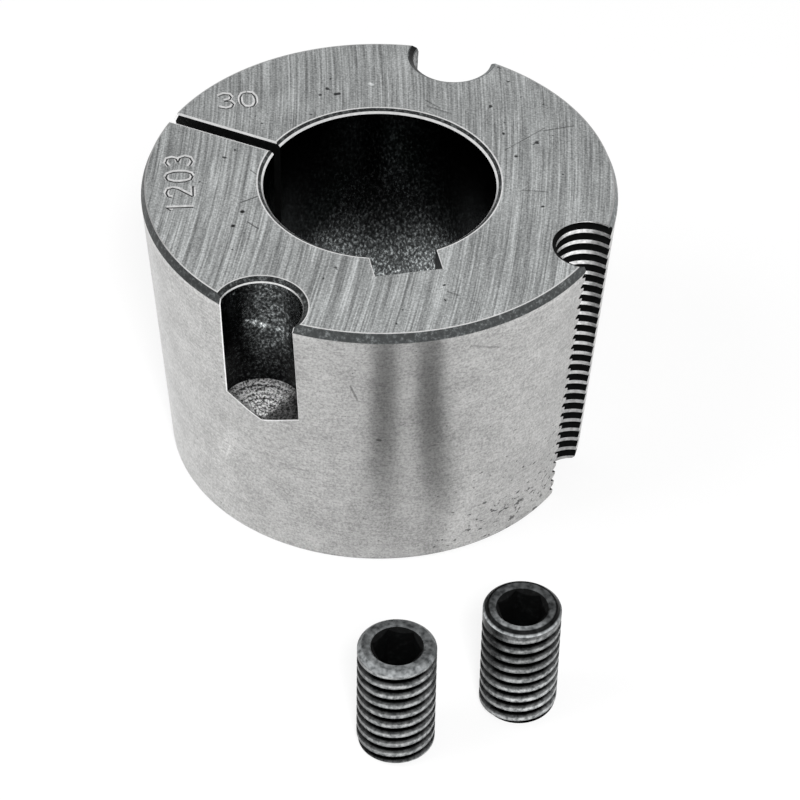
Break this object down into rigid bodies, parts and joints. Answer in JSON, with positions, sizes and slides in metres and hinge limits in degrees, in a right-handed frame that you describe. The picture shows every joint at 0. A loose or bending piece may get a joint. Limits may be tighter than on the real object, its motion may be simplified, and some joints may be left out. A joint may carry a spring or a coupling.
{
  "type": "taper bush",
  "caption": "Split tapered bush that clamps a hub on a keyed shaft, with half-holes down its side for the socket set screws that stand beside it.",
  "frame": {"origin": "on the bore's axis, in the plane of the small end, on which the bush stands", "axes": "+Z along the bore towards the large end; +X through the threaded half-hole, opposite the slit"},
  "size_m": [0.0685, 0.082, 0.0381],
  "materials": {
    "machined_iron": "turned and ground, bare, lightly oiled",
    "black_steel": "black oxide with bright thread crests"
  },
  "bodies": {
    "root": {"bush": "machined_iron", "set_screw_left": "black_steel", "set_screw_right": "black_steel"}
  },
  "joints": []
}
